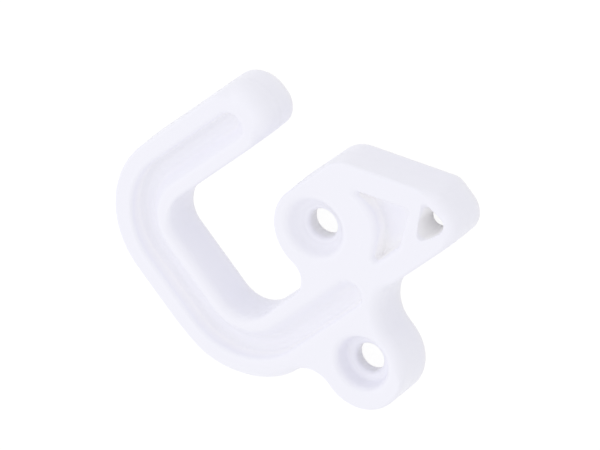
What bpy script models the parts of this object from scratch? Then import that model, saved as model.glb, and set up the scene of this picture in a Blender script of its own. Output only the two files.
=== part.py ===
"""A door stopper for a kitchen appliance: a hook, a bored head and a bored lug, moulded as one piece of white plastic.

The piece lies on its back face, with +Z out of its front face and +X along the two arms of the hook,
towards the head. Both faces are cored, so that the piece can be turned over for the other hand, and the
recesses on the two faces leave one thin web at half thickness. The back face has the same recesses, with a
plainer mouth at the small hole, a shorter pocket beside it, and an evenly rounded rim.
Places are measured from the upper screw hole. The outline is then moved so that the origin lies under its middle.
"""

import math

import bmesh
import bpy

MM = 0.001

THICKNESS = 8.8 * MM
RECESS_DEPTH = 3.1 * MM

# The hook: an upper arm, a back leg and a lower arm of one width, around a slot that is open towards +X.
ARM_WIDTH = 11.35 * MM
HOOK_BACK_X = -37.8 * MM
HOOK_TOP_Y = 29.45 * MM
SLOT_FLOOR_Y = -7.38 * MM
TIP_X = 6.85 * MM
OUTER_BEND = 17.3 * MM
TIP_TOP_RADIUS = 5.8 * MM
TIP_LOW_RADIUS = 4.6 * MM

# The head: a round boss on the slot's side, a straight top and foot, and a slanted edge that falls to the end.
BOSS_RADIUS = 8.8 * MM
BOSS_BORE = 5.5 * MM
HEAD_TOP_DROP = 0.52 * MM
HEAD_TOP_Y = BOSS_RADIUS - HEAD_TOP_DROP
HEAD_FOOT_Y = -15.5 * MM
HEAD_REACH = 18.2 * MM
HEAD_END_X = BOSS_RADIUS + HEAD_REACH
SLANT_TOP_REACH = 4.4 * MM
SLANT_TOP_X = BOSS_RADIUS + SLANT_TOP_REACH
SLANT_LOW_Y = -6.8 * MM
SLANT_TOP_RADIUS = 6.3 * MM
SLANT_LOW_RADIUS = 3.3 * MM
HEAD_LOW_RADIUS = 4.6 * MM
NECK_LEAN = 0.16
NECK_RADIUS = 4.0 * MM

# The lug that hangs from the lower arm.
LUG_X = -9.55 * MM
LUG_Y = -24.15 * MM
LUG_RADIUS = 8.55 * MM
LUG_BORE = 5.4 * MM
LUG_HOOK_FILLET = 6.1 * MM
LUG_HEAD_FILLET = 7.1 * MM

# The rounding where the faces turn into the side walls. It is slight along most of the rim, and fuller at five
# places of the front face. Its reach is how far from such a place the rounding is slight again.
RIM_ROUNDING = 0.8 * MM
TIP_ROUNDING = 3.2 * MM
TIP_ROUNDING_REACH = 8.0 * MM
SLOT_ROUNDING = 1.7 * MM
SLOT_ROUNDING_REACH = 9.0 * MM
LUG_ROUNDING = 2.0 * MM
LUG_ROUNDING_REACH = 9.0 * MM
HEAD_ROUNDING = 2.0 * MM
HEAD_ROUNDING_REACH = 7.0 * MM
BEND_ROUNDING = 3.4 * MM
BEND_ROUNDING_REACH = 10.0 * MM
BEND_ROUNDING_START = math.radians(223.0)
BEND_ROUNDING_END = math.radians(234.0)

# The channel that cores the hook. A land is the flat rim left between a recess and the outline.
# Its wall on the hook's outer side is steep, and the one on the slot's side rises gently.
CHANNEL_OUTER_LAND = 2.8 * MM
CHANNEL_INNER_LAND = 1.9 * MM
CHANNEL_TIP_LAND = 5.45 * MM
CHANNEL_HEAD_END_X = 1.6 * MM
CHANNEL_END_RADIUS = 2.7 * MM
CHANNEL_OUTER_EDGE = 0.8 * MM
CHANNEL_OUTER_DRAFT = math.radians(10.0)
CHANNEL_OUTER_FOOT = 1.4 * MM
CHANNEL_INNER_EDGE = 1.2 * MM
CHANNEL_INNER_DRAFT = math.radians(40.0)
CHANNEL_INNER_FOOT = 1.6 * MM

# The dish around the upper screw hole.
BOSS_LAND = 2.0 * MM
BOSS_EDGE = 1.1 * MM
BOSS_DRAFT = math.radians(34.0)
BOSS_FOOT = 5.2 * MM

# The counterbore around the lug's screw hole.
LUG_LAND = 2.35 * MM
LUG_EDGE = 1.0 * MM
LUG_DRAFT = math.radians(12.0)
LUG_FOOT = 1.1 * MM

# The four-sided pocket between the boss, the slanted edge, the foot and the small hole's funnel.
POCKET_BOSS_LAND = 4.2 * MM
POCKET_SLANT_LAND = 4.0 * MM
POCKET_FOOT_LAND = 3.8 * MM
POCKET_HOLE_GAP = 3.2 * MM
POCKET_BACK_HOLE_GAP = 5.2 * MM
POCKET_HOLE_LEAN = math.radians(33.5)
POCKET_CORNER = 1.3 * MM
POCKET_ARC_HIGH = math.radians(17.5)
POCKET_ARC_LOW = math.radians(-52.0)
POCKET_EDGE = 0.9 * MM
POCKET_DRAFT = math.radians(4.0)
POCKET_FOOT = 0.5 * MM

# The small hole near the head's end. From the front it is a deep funnel whose mouth is a rounded triangle, and
# whose wall starts level with the face and steepens inwards; its softness says how slowly.
# From the back it is a plain cone, with a round mouth that lies towards the boss.
SMALL_REACH = 11.9 * MM
SMALL_X = BOSS_RADIUS + SMALL_REACH
SMALL_Y = -10.6 * MM
SMALL_BORE = 3.6 * MM
FUNNEL_LEFT = (SMALL_X - 4.2 * MM, SMALL_Y - 1.3 * MM)
FUNNEL_FOOT = (SMALL_X + 4.5 * MM, SMALL_Y - 2.6 * MM)
FUNNEL_TOP = (SMALL_X + 3.3 * MM, SMALL_Y + 5.0 * MM)
FUNNEL_LEFT_RADIUS = 0.9 * MM
FUNNEL_FOOT_RADIUS = 2.0 * MM
FUNNEL_TOP_RADIUS = 0.9 * MM
FUNNEL_DEPTH = 5.7 * MM
FUNNEL_SOFTNESS = 0.3
CONE_SHIFT = 1.1 * MM
CONE_RADIUS = 3.6 * MM

# How finely curves are cut into straight pieces.
ARC_STEP = math.radians(11.5)
LONGEST_SIDE = 5.0 * MM
RIM_STEPS = 3
WALL_STEPS = 6
FUNNEL_STEPS = 4
FUNNEL_LONGEST_SIDE = 1.0 * MM
CIRCLE_SIDES = 36
SMALLEST_CORNER = 0.3 * MM

# How far a cutter stands out of the face that it cuts.
CUTTER_RISE = 0.15 * MM

WHITE = (0.86, 0.86, 0.89, 1.0)


def unit(x, y):
    """The direction of a plane vector."""
    length = math.hypot(x, y)
    return x / length, y / length


def meeting_point(first, first_way, second, second_way):
    """Where two lines in the plane cross, each given by a point and a direction."""
    turn = first_way[0] * second_way[1] - first_way[1] * second_way[0]
    gap_x = second[0] - first[0]
    gap_y = second[1] - first[1]
    along = (gap_x * second_way[1] - gap_y * second_way[0]) / turn
    return first[0] + along * first_way[0], first[1] + along * first_way[1]


def tangent_at(centre, radius, angle):
    """The point of a circle at an angle about its centre, and the way that its tangent runs there."""
    point = (centre[0] + radius * math.cos(angle), centre[1] + radius * math.sin(angle))
    return point, (-math.sin(angle), math.cos(angle))


def tangent_corner(centre, radius, start, end):
    """The corner that an arc rounds off, from the angle start to the angle end about its centre."""
    middle = (start + end) / 2
    reach = radius / math.cos((end - start) / 2)
    return centre[0] + reach * math.cos(middle), centre[1] + reach * math.sin(middle), radius


def rounded_outline(corners):
    """The points (x, y, outward x, outward y) of a closed outline, counterclockwise, with an arc at each corner.

    A corner is (x, y, radius). A radius is limited by the sides that it rounds off.
    """
    count = len(corners)
    turns = []
    for index, (x, y, radius) in enumerate(corners):
        before = corners[index - 1]
        after = corners[(index + 1) % count]
        arriving = unit(x - before[0], y - before[1])
        leaving = unit(after[0] - x, after[1] - y)
        turn = math.atan2(arriving[0] * leaving[1] - arriving[1] * leaving[0],
                          arriving[0] * leaving[0] + arriving[1] * leaving[1])
        turns.append((arriving, leaving, turn))
    wanted = [radius * abs(math.tan(turns[index][2] / 2)) for index, (_, _, radius) in enumerate(corners)]
    shares = [1.0] * count
    for index, (x, y, _) in enumerate(corners):
        after = (index + 1) % count
        side = math.hypot(corners[after][0] - x, corners[after][1] - y)
        needed = wanted[index] + wanted[after]
        if needed > side:
            shares[index] = min(shares[index], side / needed)
            shares[after] = min(shares[after], side / needed)
    outline = []
    for index, (x, y, radius) in enumerate(corners):
        arriving, leaving, turn = turns[index]
        reach = wanted[index] * shares[index]
        radius = radius * shares[index]
        side = 1.0 if turn > 0 else -1.0
        start_x = x - reach * arriving[0]
        start_y = y - reach * arriving[1]
        centre_x = start_x - side * radius * arriving[1]
        centre_y = start_y + side * radius * arriving[0]
        steps = max(2, math.ceil(abs(turn) / ARC_STEP))
        first = math.atan2(start_y - centre_y, start_x - centre_x)
        for step in range(steps + 1):
            angle = first + turn * step / steps
            away_x = math.cos(angle)
            away_y = math.sin(angle)
            outline.append((centre_x + radius * away_x, centre_y + radius * away_y, side * away_x, side * away_y))
    return outline


def inset_corners(corners, inset):
    """The corners of the outline that runs inside another by inset, each with its radius fitted."""
    count = len(corners)
    result = []
    for index, (x, y, radius) in enumerate(corners):
        before = corners[index - 1]
        after = corners[(index + 1) % count]
        arriving = unit(x - before[0], y - before[1])
        leaving = unit(after[0] - x, after[1] - y)
        arriving_point = (x - inset * arriving[1], y + inset * arriving[0])
        leaving_point = (x - inset * leaving[1], y + inset * leaving[0])
        inner = meeting_point(arriving_point, arriving, leaving_point, leaving)
        turns_left = arriving[0] * leaving[1] > arriving[1] * leaving[0]
        fitted = radius - inset if turns_left else radius + inset
        result.append((inner[0], inner[1], max(fitted, SMALLEST_CORNER)))
    return result


def with_long_sides_split(outline, longest):
    """The same outline with points added along its straight sides, so that no side is longer than longest."""
    result = []
    for index, point in enumerate(outline):
        after = outline[(index + 1) % len(outline)]
        pieces = max(1, math.ceil(math.hypot(after[0] - point[0], after[1] - point[1]) / longest))
        for piece in range(pieces):
            share = piece / pieces
            result.append(tuple(point[axis] + (after[axis] - point[axis]) * share for axis in range(4)))
    return result


def circle_outline(centre_x, centre_y, radius):
    """A circle as an outline."""
    outline = []
    for side in range(CIRCLE_SIDES):
        angle = math.tau * side / CIRCLE_SIDES
        across = math.cos(angle)
        along = math.sin(angle)
        outline.append((centre_x + radius * across, centre_y + radius * along, across, along))
    return outline


def stopper_corners():
    """The corners of the whole outline, counterclockwise from the upper arm's tip."""
    arm_under_y = HOOK_TOP_Y - ARM_WIDTH
    slot_back_x = HOOK_BACK_X + ARM_WIDTH
    hook_foot_y = SLOT_FLOOR_Y - ARM_WIDTH
    inner_bend = OUTER_BEND - ARM_WIDTH
    lean = math.atan(NECK_LEAN)
    neck_point = (-BOSS_RADIUS * math.cos(lean), -BOSS_RADIUS * math.sin(lean))
    neck_way = (math.sin(lean), -math.cos(lean))
    across = (1.0, 0.0)
    boss_top = meeting_point(neck_point, neck_way, (0.0, HEAD_TOP_Y), across)
    neck_foot = meeting_point(neck_point, neck_way, (0.0, SLOT_FLOOR_Y), across)
    lug_left_x = LUG_X - LUG_RADIUS
    lug_right_x = LUG_X + LUG_RADIUS
    lug_low_y = LUG_Y - LUG_RADIUS
    return [
        (TIP_X, HOOK_TOP_Y, TIP_TOP_RADIUS),
        (HOOK_BACK_X, HOOK_TOP_Y, OUTER_BEND),
        (HOOK_BACK_X, hook_foot_y, OUTER_BEND),
        (lug_left_x, hook_foot_y, LUG_HOOK_FILLET),
        (lug_left_x, lug_low_y, LUG_RADIUS),
        (lug_right_x, lug_low_y, LUG_RADIUS),
        (lug_right_x, HEAD_FOOT_Y, LUG_HEAD_FILLET),
        (HEAD_END_X, HEAD_FOOT_Y, HEAD_LOW_RADIUS),
        (HEAD_END_X, SLANT_LOW_Y, SLANT_LOW_RADIUS),
        (SLANT_TOP_X, HEAD_TOP_Y, SLANT_TOP_RADIUS),
        (boss_top[0], boss_top[1], BOSS_RADIUS),
        (neck_foot[0], neck_foot[1], NECK_RADIUS),
        (slot_back_x, SLOT_FLOOR_Y, inner_bend),
        (slot_back_x, arm_under_y, inner_bend),
        (TIP_X, arm_under_y, TIP_LOW_RADIUS),
    ]


def channel_corners(outer, inner):
    """The corners of the channel at one level, where its walls stand in from its mouth by outer and by inner."""
    outer_x = HOOK_BACK_X + CHANNEL_OUTER_LAND + outer
    upper_y = HOOK_TOP_Y - CHANNEL_OUTER_LAND - outer
    lower_y = SLOT_FLOOR_Y - ARM_WIDTH + CHANNEL_OUTER_LAND + outer
    inner_x = HOOK_BACK_X + ARM_WIDTH - CHANNEL_INNER_LAND - inner
    arm_low_y = HOOK_TOP_Y - ARM_WIDTH + CHANNEL_INNER_LAND + inner
    slot_low_y = SLOT_FLOOR_Y - CHANNEL_INNER_LAND - inner
    outer_bend = OUTER_BEND - CHANNEL_OUTER_LAND - outer
    inner_bend = OUTER_BEND - ARM_WIDTH + CHANNEL_INNER_LAND + inner
    tip_end_x = TIP_X - CHANNEL_TIP_LAND - inner
    head_end_x = CHANNEL_HEAD_END_X - inner
    end_radius = max(CHANNEL_END_RADIUS - (outer + inner) / 2, SMALLEST_CORNER)
    return [
        (tip_end_x, upper_y, end_radius),
        (outer_x, upper_y, outer_bend),
        (outer_x, lower_y, outer_bend),
        (head_end_x, lower_y, end_radius),
        (head_end_x, slot_low_y, end_radius),
        (inner_x, slot_low_y, inner_bend),
        (inner_x, arm_low_y, inner_bend),
        (tip_end_x, arm_low_y, end_radius),
    ]


def pocket_corners(hole_gap):
    """The corners of a pocket's mouth, between an arc about the boss and lines along three other sides."""
    boss_arc = BOSS_RADIUS - BOSS_LAND + POCKET_BOSS_LAND
    boss = (0.0, 0.0)
    slant_way = unit(HEAD_END_X - SLANT_TOP_X, SLANT_LOW_Y - HEAD_TOP_Y)
    slant_point = (SLANT_TOP_X + slant_way[1] * POCKET_SLANT_LAND, HEAD_TOP_Y - slant_way[0] * POCKET_SLANT_LAND)
    foot_point = (0.0, HEAD_FOOT_Y + POCKET_FOOT_LAND)
    level = (1.0, 0.0)
    hole_way = (math.cos(POCKET_HOLE_LEAN), math.sin(POCKET_HOLE_LEAN))
    hole_point = (SMALL_X - hole_gap * hole_way[1], SMALL_Y + hole_gap * hole_way[0])
    top = meeting_point(*tangent_at(boss, boss_arc, POCKET_ARC_HIGH), slant_point, slant_way)
    low_left = meeting_point(*tangent_at(boss, boss_arc, POCKET_ARC_LOW), foot_point, level)
    low_right = meeting_point(hole_point, hole_way, foot_point, level)
    right = meeting_point(hole_point, hole_way, slant_point, slant_way)
    return [
        (top[0], top[1], POCKET_CORNER),
        tangent_corner(boss, boss_arc, POCKET_ARC_LOW, POCKET_ARC_HIGH),
        (low_left[0], low_left[1], POCKET_CORNER),
        (low_right[0], low_right[1], POCKET_CORNER),
        (right[0], right[1], POCKET_CORNER),
    ]


def raised(profile):
    """The profile with its first stretch carried on in a straight line to above the face."""
    slope = (profile[1][1] - profile[0][1]) / (profile[1][0] - profile[0][0])
    return [(profile[0][0] - CUTTER_RISE / slope, -CUTTER_RISE)] + profile[1:]


def recess_profile(edge, draft, foot):
    """The section of a recess's wall as (inset, depth) points, from above its mouth to the flat of its floor.

    The wall rolls over from the face on the radius edge, falls with a draft, and runs out into the
    floor on the radius foot. The radii are limited by the depth. The depths are the same for every
    recess, and lie closer together at the face and at the floor, where the wall curves.
    """
    most = RECESS_DEPTH / (1.0 - math.sin(draft))
    if edge + foot > most:
        scale = most / (edge + foot)
        edge = edge * scale
        foot = foot * scale
    edge_depth = edge * (1.0 - math.sin(draft))
    foot_depth = foot * (1.0 - math.sin(draft))
    straight = RECESS_DEPTH - edge_depth - foot_depth
    floor_inset = (edge + foot) * math.cos(draft) + straight * math.tan(draft)
    profile = []
    for step in range(WALL_STEPS + 1):
        depth = RECESS_DEPTH * (1.0 - math.cos(math.pi * step / WALL_STEPS)) / 2
        left = RECESS_DEPTH - depth
        if depth < edge_depth:
            inset = math.sqrt(edge ** 2 - (edge - depth) ** 2)
        elif left < foot_depth:
            inset = floor_inset - math.sqrt(foot ** 2 - (foot - left) ** 2)
        else:
            inset = edge * math.cos(draft) + (depth - edge_depth) * math.tan(draft)
        profile.append((inset, depth))
    return raised(profile)


def funnel_profile():
    """The section of the funnel as (share of the way from its mouth to the bore, depth), from above its mouth."""
    deepest = math.hypot(1.0, FUNNEL_SOFTNESS) - FUNNEL_SOFTNESS
    shares = [step / FUNNEL_STEPS for step in range(FUNNEL_STEPS + 1)]
    return raised([(share, FUNNEL_DEPTH * (math.hypot(share, FUNNEL_SOFTNESS) - FUNNEL_SOFTNESS) / deepest)
                   for share in shares])


def solid(name, loops):
    """A closed mesh object through the given loops of points, each with the same count, lowest loop first."""
    mesh = bpy.data.meshes.new(name)
    shape = bmesh.new()
    rings = [[shape.verts.new(point) for point in loop] for loop in loops]
    for below, above in zip(rings, rings[1:]):
        for index in range(len(below)):
            after = (index + 1) % len(below)
            shape.faces.new((below[index], below[after], above[after], above[index]))
    shape.faces.new(list(reversed(rings[0])))
    shape.faces.new(rings[-1])
    bmesh.ops.recalc_face_normals(shape, faces=shape.faces)
    shape.to_mesh(mesh)
    shape.free()
    thing = bpy.data.objects.new(name, mesh)
    bpy.context.scene.collection.objects.link(thing)
    return thing


def inset_loop(outline, inset, height):
    """One loop of points: the outline moved inwards by inset, at a height."""
    return [(x - inset * away_x, y - inset * away_y, height) for x, y, away_x, away_y in outline]


def turned_over(loops):
    """The loops of a recess in the back face, taken to the front face."""
    return [[(x, y, THICKNESS - z) for x, y, z in loop] for loop in reversed(loops)]


def channel_cutters():
    """The cutters of the channel in both faces."""
    outer_wall = recess_profile(CHANNEL_OUTER_EDGE, CHANNEL_OUTER_DRAFT, CHANNEL_OUTER_FOOT)
    inner_wall = recess_profile(CHANNEL_INNER_EDGE, CHANNEL_INNER_DRAFT, CHANNEL_INNER_FOOT)
    back = []
    for (outer, depth), (inner, _) in zip(outer_wall, inner_wall):
        outline = rounded_outline(channel_corners(outer, inner))
        back.append([(x, y, depth) for x, y, _, _ in outline])
    return [
        as_cutter(solid("channel_front_cutter", turned_over(back))),
        as_cutter(solid("channel_back_cutter", back)),
    ]


def pocket_loops(hole_gap):
    """The loops of a pocket in the back face."""
    loops = []
    for inset, depth in recess_profile(POCKET_EDGE, POCKET_DRAFT, POCKET_FOOT):
        outline = rounded_outline(inset_corners(pocket_corners(hole_gap), inset))
        loops.append([(x, y, depth) for x, y, _, _ in outline])
    return loops


def pocket_cutters():
    """The cutters of the pocket in both faces."""
    return [
        as_cutter(solid("pocket_front_cutter", turned_over(pocket_loops(POCKET_HOLE_GAP)))),
        as_cutter(solid("pocket_back_cutter", pocket_loops(POCKET_BACK_HOLE_GAP))),
    ]


def cut_short(profile, most_inset):
    """The profile as far as the inset where it comes in to a bore."""
    kept = [point for point in profile if point[0] < most_inset]
    if len(kept) < len(profile):
        last = kept[-1]
        after = profile[len(kept)]
        share = (most_inset - last[0]) / (after[0] - last[0])
        kept.append((most_inset, last[1] + (after[1] - last[1]) * share))
    else:
        kept.append((most_inset, profile[-1][1]))
    return kept


def bored_cutter(name, x, y, mouth_radius, bore_radius, profile):
    """One cutter right through: a round recess in each face, and the bore between them."""
    mouth = circle_outline(x, y, mouth_radius)
    wall = cut_short(profile, mouth_radius - bore_radius)
    back = [inset_loop(mouth, inset, depth) for inset, depth in wall]
    front = [inset_loop(mouth, inset, THICKNESS - depth) for inset, depth in reversed(wall)]
    return as_cutter(solid(name + "_cutter", back + front))


def way_to_cone_mouth(way):
    """How far the cone's round mouth is from the small hole's middle, in one direction."""
    along = -CONE_SHIFT * way[0]
    return along + math.sqrt(along ** 2 - CONE_SHIFT ** 2 + CONE_RADIUS ** 2)


def small_hole_cutter():
    """The small hole: the cone in the back face, the throat where it meets the funnel, and the funnel."""
    mouth = with_long_sides_split(rounded_outline([
        (*FUNNEL_LEFT, FUNNEL_LEFT_RADIUS),
        (*FUNNEL_FOOT, FUNNEL_FOOT_RADIUS),
        (*FUNNEL_TOP, FUNNEL_TOP_RADIUS),
    ]), FUNNEL_LONGEST_SIDE)
    ways = [unit(x - SMALL_X, y - SMALL_Y) for x, y, _, _ in mouth]
    throat_reach = SMALL_BORE / 2
    throat = [(SMALL_X + throat_reach * way[0], SMALL_Y + throat_reach * way[1]) for way in ways]
    funnel = []
    for share, depth in funnel_profile():
        funnel.append([(start[0] + share * (end[0] - start[0]), start[1] + share * (end[1] - start[1]), depth)
                       for start, end in zip(mouth, throat)])
    cone_depth = THICKNESS - FUNNEL_DEPTH
    cone_mouth = []
    for way in ways:
        reach = way_to_cone_mouth(way)
        reach += (reach - throat_reach) * CUTTER_RISE / cone_depth
        cone_mouth.append((SMALL_X + reach * way[0], SMALL_Y + reach * way[1], -CUTTER_RISE))
    return as_cutter(solid("small_hole_cutter", [cone_mouth] + turned_over(funnel)))


def as_cutter(thing):
    """Marks an object as a cutter, which isn't part of the stopper."""
    thing.hide_render = True
    thing.display_type = "WIRE"
    return thing


def distance_to_line(x, y, start, end):
    """How far a point is from the straight line between two points."""
    along_x = end[0] - start[0]
    along_y = end[1] - start[1]
    share = ((x - start[0]) * along_x + (y - start[1]) * along_y) / (along_x ** 2 + along_y ** 2)
    share = max(0.0, min(1.0, share))
    return math.hypot(x - start[0] - share * along_x, y - start[1] - share * along_y)


def rounding_at(x, y):
    """The rounding of the front rim at a point: slight along most of it, and fuller near five straight lines."""
    arm_under_y = HOOK_TOP_Y - ARM_WIDTH
    slot_back_x = HOOK_BACK_X + ARM_WIDTH
    inner_bend = OUTER_BEND - ARM_WIDTH
    lug_right_x = LUG_X + LUG_RADIUS
    bend = (HOOK_BACK_X + OUTER_BEND, SLOT_FLOOR_Y - ARM_WIDTH + OUTER_BEND)
    bend_start, _ = tangent_at(bend, OUTER_BEND, BEND_ROUNDING_START)
    bend_end, _ = tangent_at(bend, OUTER_BEND, BEND_ROUNDING_END)
    places = (
        ((TIP_X, arm_under_y), (TIP_X, HOOK_TOP_Y), TIP_ROUNDING, TIP_ROUNDING_REACH),
        ((slot_back_x, SLOT_FLOOR_Y + inner_bend), (slot_back_x, arm_under_y - inner_bend),
         SLOT_ROUNDING, SLOT_ROUNDING_REACH),
        ((lug_right_x, LUG_Y), (lug_right_x, HEAD_FOOT_Y), LUG_ROUNDING, LUG_ROUNDING_REACH),
        ((HEAD_END_X, HEAD_FOOT_Y), (HEAD_END_X, SLANT_LOW_Y - SLANT_LOW_RADIUS), HEAD_ROUNDING, HEAD_ROUNDING_REACH),
        (bend_start, bend_end, BEND_ROUNDING, BEND_ROUNDING_REACH),
    )
    rounding = RIM_ROUNDING
    for start, end, full, reach in places:
        near = max(0.0, min(1.0, 2.0 - 2.0 * distance_to_line(x, y, start, end) / reach))
        share = near * near * (3.0 - 2.0 * near)
        rounding = max(rounding, RIM_ROUNDING + (full - RIM_ROUNDING) * share)
    return rounding


def rim_loops(outline, roundings):
    """The loops of a rounded rim, from the side wall to the front face."""
    loops = []
    for step in range(RIM_STEPS + 1):
        angle = math.pi / 2 * step / RIM_STEPS
        loop = []
        for (x, y, away_x, away_y), rounding in zip(outline, roundings):
            inset = rounding * (1.0 - math.cos(angle))
            height = THICKNESS - rounding * (1.0 - math.sin(angle))
            loop.append((x - inset * away_x, y - inset * away_y, height))
        loops.append(loop)
    return loops


def plate(outline):
    """The plain plate with rounded rims, before it is cored."""
    upper = rim_loops(outline, [rounding_at(x, y) for x, y, _, _ in outline])
    lower = turned_over(rim_loops(outline, [RIM_ROUNDING] * len(outline)))
    return solid("door_stopper", lower + upper)


def white_plastic():
    """The white, slightly cold plastic of the moulding, with a soft gloss."""
    material = bpy.data.materials.new("white_plastic")
    material.use_nodes = True
    principled = material.node_tree.nodes["Principled BSDF"]
    principled.inputs["Base Color"].default_value = WHITE
    principled.inputs["Metallic"].default_value = 0.0
    principled.inputs["Roughness"].default_value = 0.42
    return material


def main():
    for thing in list(bpy.data.objects):
        bpy.data.objects.remove(thing, do_unlink=True)

    outline = with_long_sides_split(rounded_outline(stopper_corners()), LONGEST_SIDE)
    middle_x = (min(point[0] for point in outline) + max(point[0] for point in outline)) / 2
    middle_y = (min(point[1] for point in outline) + max(point[1] for point in outline)) / 2

    dish = recess_profile(BOSS_EDGE, BOSS_DRAFT, BOSS_FOOT)
    counterbore = recess_profile(LUG_EDGE, LUG_DRAFT, LUG_FOOT)

    cutters = channel_cutters() + pocket_cutters()
    cutters.append(bored_cutter("boss", 0.0, 0.0, BOSS_RADIUS - BOSS_LAND, BOSS_BORE / 2, dish))
    cutters.append(bored_cutter("lug", LUG_X, LUG_Y, LUG_RADIUS - LUG_LAND, LUG_BORE / 2, counterbore))
    cutters.append(small_hole_cutter())

    stopper = plate(outline)
    stopper.data.materials.append(white_plastic())
    for cutter in cutters:
        cut = stopper.modifiers.new(cutter.name, "BOOLEAN")
        cut.operation = "DIFFERENCE"
        cut.solver = "EXACT"
        cut.object = cutter

    for thing in [stopper] + cutters:
        thing.location = (-middle_x, -middle_y, 0.0)
        thing.data.shade_smooth()
        thing.data.set_sharp_from_angle(angle=math.radians(35.0))


main()
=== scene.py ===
# %% [markdown]
# # A white plastic door stopper
#
# This lesson dresses one small moulding: the stopper that catches an appliance's door.
# It is a single injection moulding, so there is one piece to make and one plastic to mix.
# What makes it look real is not a pattern but form and light: soft rims, hollowed faces,
# and a cool white plastic whose deep hollows are kept pale by painted light.
#
# The construction model is loaded first. It gives the place and the size of everything,
# and its box is kept to compare with the finished one at the end.

import math

import bmesh
import bpy
from mathutils import Matrix, Vector


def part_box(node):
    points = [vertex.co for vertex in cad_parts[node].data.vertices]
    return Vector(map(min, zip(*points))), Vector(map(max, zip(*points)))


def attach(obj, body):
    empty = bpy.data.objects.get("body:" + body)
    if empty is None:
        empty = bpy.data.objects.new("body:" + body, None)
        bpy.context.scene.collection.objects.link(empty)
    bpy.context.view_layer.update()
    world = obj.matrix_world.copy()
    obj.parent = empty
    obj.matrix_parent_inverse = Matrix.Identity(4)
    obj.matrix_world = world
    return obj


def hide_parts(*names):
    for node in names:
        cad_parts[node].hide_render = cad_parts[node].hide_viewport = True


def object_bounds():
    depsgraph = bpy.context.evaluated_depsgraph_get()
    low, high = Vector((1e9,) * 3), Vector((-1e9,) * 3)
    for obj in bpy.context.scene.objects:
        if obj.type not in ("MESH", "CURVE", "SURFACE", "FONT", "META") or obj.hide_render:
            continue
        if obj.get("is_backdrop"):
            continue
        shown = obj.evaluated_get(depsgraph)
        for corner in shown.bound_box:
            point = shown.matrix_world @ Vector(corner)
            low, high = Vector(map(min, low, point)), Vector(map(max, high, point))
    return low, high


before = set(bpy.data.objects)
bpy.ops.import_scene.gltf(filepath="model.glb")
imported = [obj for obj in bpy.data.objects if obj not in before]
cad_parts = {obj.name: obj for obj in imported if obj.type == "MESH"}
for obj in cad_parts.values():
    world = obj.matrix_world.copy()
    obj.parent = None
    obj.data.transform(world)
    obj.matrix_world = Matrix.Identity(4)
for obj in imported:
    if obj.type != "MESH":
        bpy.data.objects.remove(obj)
cad_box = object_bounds()
NODE = "door_stopper"

# %% [markdown]
# ## The driving sizes
#
# The outer extents are read off the construction model, so the dressed piece can't drift
# away from it. The rest are the sizes that a toolmaker would write on the drawing.
# Places are measured from the upper screw hole, with X along the hook's two arms and Y
# across them. The whole shape is moved onto the model's own origin at the end.

# %% Sizes of the plate and the hook
MM = 0.001

low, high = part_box(NODE)
THICKNESS = high.z - low.z
LENGTH = high.x - low.x
BREADTH = high.y - low.y

HOOK_BACK_X = -37.8 * MM
HOOK_TOP_Y = 29.45 * MM
HEAD_END_X = HOOK_BACK_X + LENGTH
LUG_FOOT_Y = HOOK_TOP_Y - BREADTH
ARM_WIDTH = 11.35 * MM
SLOT_FLOOR_Y = -7.38 * MM
TIP_X = 6.85 * MM
OUTER_BEND = 17.3 * MM
TIP_TOP_RADIUS = 5.8 * MM
TIP_LOW_RADIUS = 4.6 * MM

ARM_UNDER_Y = HOOK_TOP_Y - ARM_WIDTH
SLOT_BACK_X = HOOK_BACK_X + ARM_WIDTH
HOOK_FOOT_Y = SLOT_FLOOR_Y - ARM_WIDTH
INNER_BEND = OUTER_BEND - ARM_WIDTH

print(f"plate {LENGTH / MM:.2f} x {BREADTH / MM:.2f} x {THICKNESS / MM:.2f} mm")

# %% Sizes of the head
BOSS_RADIUS = 8.8 * MM
BOSS_BORE = 5.5 * MM
HEAD_TOP_Y = 8.28 * MM
HEAD_FOOT_Y = -15.5 * MM
SLANT_TOP_REACH = 4.4 * MM
SLANT_TOP_X = BOSS_RADIUS + SLANT_TOP_REACH
SLANT_LOW_Y = -6.8 * MM
SLANT_TOP_RADIUS = 6.3 * MM
SLANT_LOW_RADIUS = 3.3 * MM
HEAD_LOW_RADIUS = 4.6 * MM
NECK_LEAN = 0.16
NECK_RADIUS = 4.0 * MM

print(f"head {(HEAD_END_X + BOSS_RADIUS) / MM:.2f} x {(HEAD_TOP_Y - HEAD_FOOT_Y) / MM:.2f} mm")

# %% Sizes of the lug
LUG_X = -9.55 * MM
LUG_RADIUS = 8.55 * MM
LUG_Y = LUG_FOOT_Y + LUG_RADIUS
LUG_BORE = 5.4 * MM
LUG_HOOK_FILLET = 6.1 * MM
LUG_HEAD_FILLET = 7.1 * MM

print(f"lug {2 * LUG_RADIUS / MM:.2f} mm across, its bore at {LUG_X / MM:.2f}, {LUG_Y / MM:.2f} mm")

# %% [markdown]
# ## Outlines from corners
#
# Every outline on the piece is made of straight runs joined by arcs. So an outline is
# written down as its sharp corners, each with the radius that rounds it, and one function
# turns the corners into points. Each point also carries the direction that points out of
# the shape there, because rims and recess walls are made by moving points along it.
#
# The construction model uses steps of about eleven degrees on its arcs. Here the steps
# are about three, so that no facet shows on a rim that catches the light.

# %% Directions and crossings
def unit(x, y):
    """The direction of a plane vector."""
    length = math.hypot(x, y)
    return x / length, y / length


def meeting_point(first, first_way, second, second_way):
    """Where two lines in the plane cross, each given by a point and a direction."""
    turn = first_way[0] * second_way[1] - first_way[1] * second_way[0]
    gap_x = second[0] - first[0]
    gap_y = second[1] - first[1]
    along = (gap_x * second_way[1] - gap_y * second_way[0]) / turn
    return first[0] + along * first_way[0], first[1] + along * first_way[1]


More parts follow.
